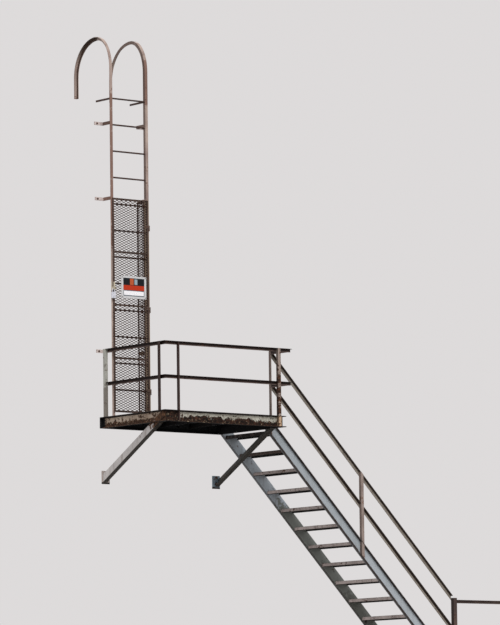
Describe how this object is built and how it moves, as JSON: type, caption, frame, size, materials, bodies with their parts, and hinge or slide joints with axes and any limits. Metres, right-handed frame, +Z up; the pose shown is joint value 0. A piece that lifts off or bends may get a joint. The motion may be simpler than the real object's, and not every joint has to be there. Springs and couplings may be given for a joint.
{
  "type": "fire_escape_stair",
  "caption": "Steel wall-hung fire escape: a small railed platform on knee braces, a straight flight of bent-plate treads to the ground, and a roof ladder behind a locked mesh guard door.",
  "frame": {"origin": "Middle of the wall ledger's back face, on the wall plane", "axes": "+X along the wall, down the flight; +Y into the wall; +Z up"},
  "size_m": [6.071, 1.731, 7.2419],
  "materials": {
    "stringer_paint": "weathered",
    "platform_paint": "weathered",
    "rail_paint": "weathered",
    "post_paint": "weathered",
    "tread_steel": "weathered",
    "ladder_paint": "weathered",
    "guard_mesh_steel": "weathered",
    "hardware_steel": "dull",
    "lock_steel": "dull",
    "notice_paint": "faded"
  },
  "bodies": {
    "stair": {"brace_wall_plates": "platform_paint", "deck_bearers": "platform_paint", "deck_plate": "tread_steel", "front_channel": "platform_paint", "front_posts": "post_paint", "front_rails": "rail_paint", "hinge_pins": "hardware_steel", "inner_stringer": "stringer_paint", "keeper": "hardware_steel", "knee_braces": "stringer_paint", "ladder_rungs": "ladder_paint", "ladder_wall_brackets": "ladder_paint", "left_channel": "platform_paint", "left_ladder_rail": "ladder_paint", "left_rails": "rail_paint", "lower_posts": "rail_paint", "lower_rails": "rail_paint", "outer_stringer": "stringer_paint", "padlock": "lock_steel", "return_rails": "rail_paint", "right_channel": "platform_paint", "right_ladder_rail": "ladder_paint", "roof_straps": "rail_paint", "side_posts": "post_paint", "side_screen_frame": "rail_paint", "side_screen_mesh": "guard_mesh_steel", "stair_handrails": "rail_paint", "stair_head_post": "rail_paint", "stair_middle_post": "post_paint", "tread_01": "tread_steel", "tread_02": "tread_steel", "tread_03": "tread_steel", "tread_04": "tread_steel", "tread_05": "tread_steel", "tread_06": "tread_steel", "tread_07": "tread_steel", "tread_08": "tread_steel", "tread_09": "tread_steel", "tread_10": "tread_steel", "tread_11": "tread_steel", "tread_12": "tread_steel", "tread_13": "tread_steel", "wall_ledger": "platform_paint"},
    "guard_door": {"guard_door_frame": "rail_paint", "guard_door_mesh": "guard_mesh_steel", "door_hinge_leaves": "hardware_steel", "hasp": "hardware_steel", "notice_plate": "notice_paint"}
  },
  "joints": [
    {"name": "guard_door_hinge", "type": "hinge", "parent": "stair", "child": "guard_door", "pos_m": [-0.2845, -0.1923, 1.3085], "axis": [0, 0, 1], "range_deg": [0, 120]}
  ]
}
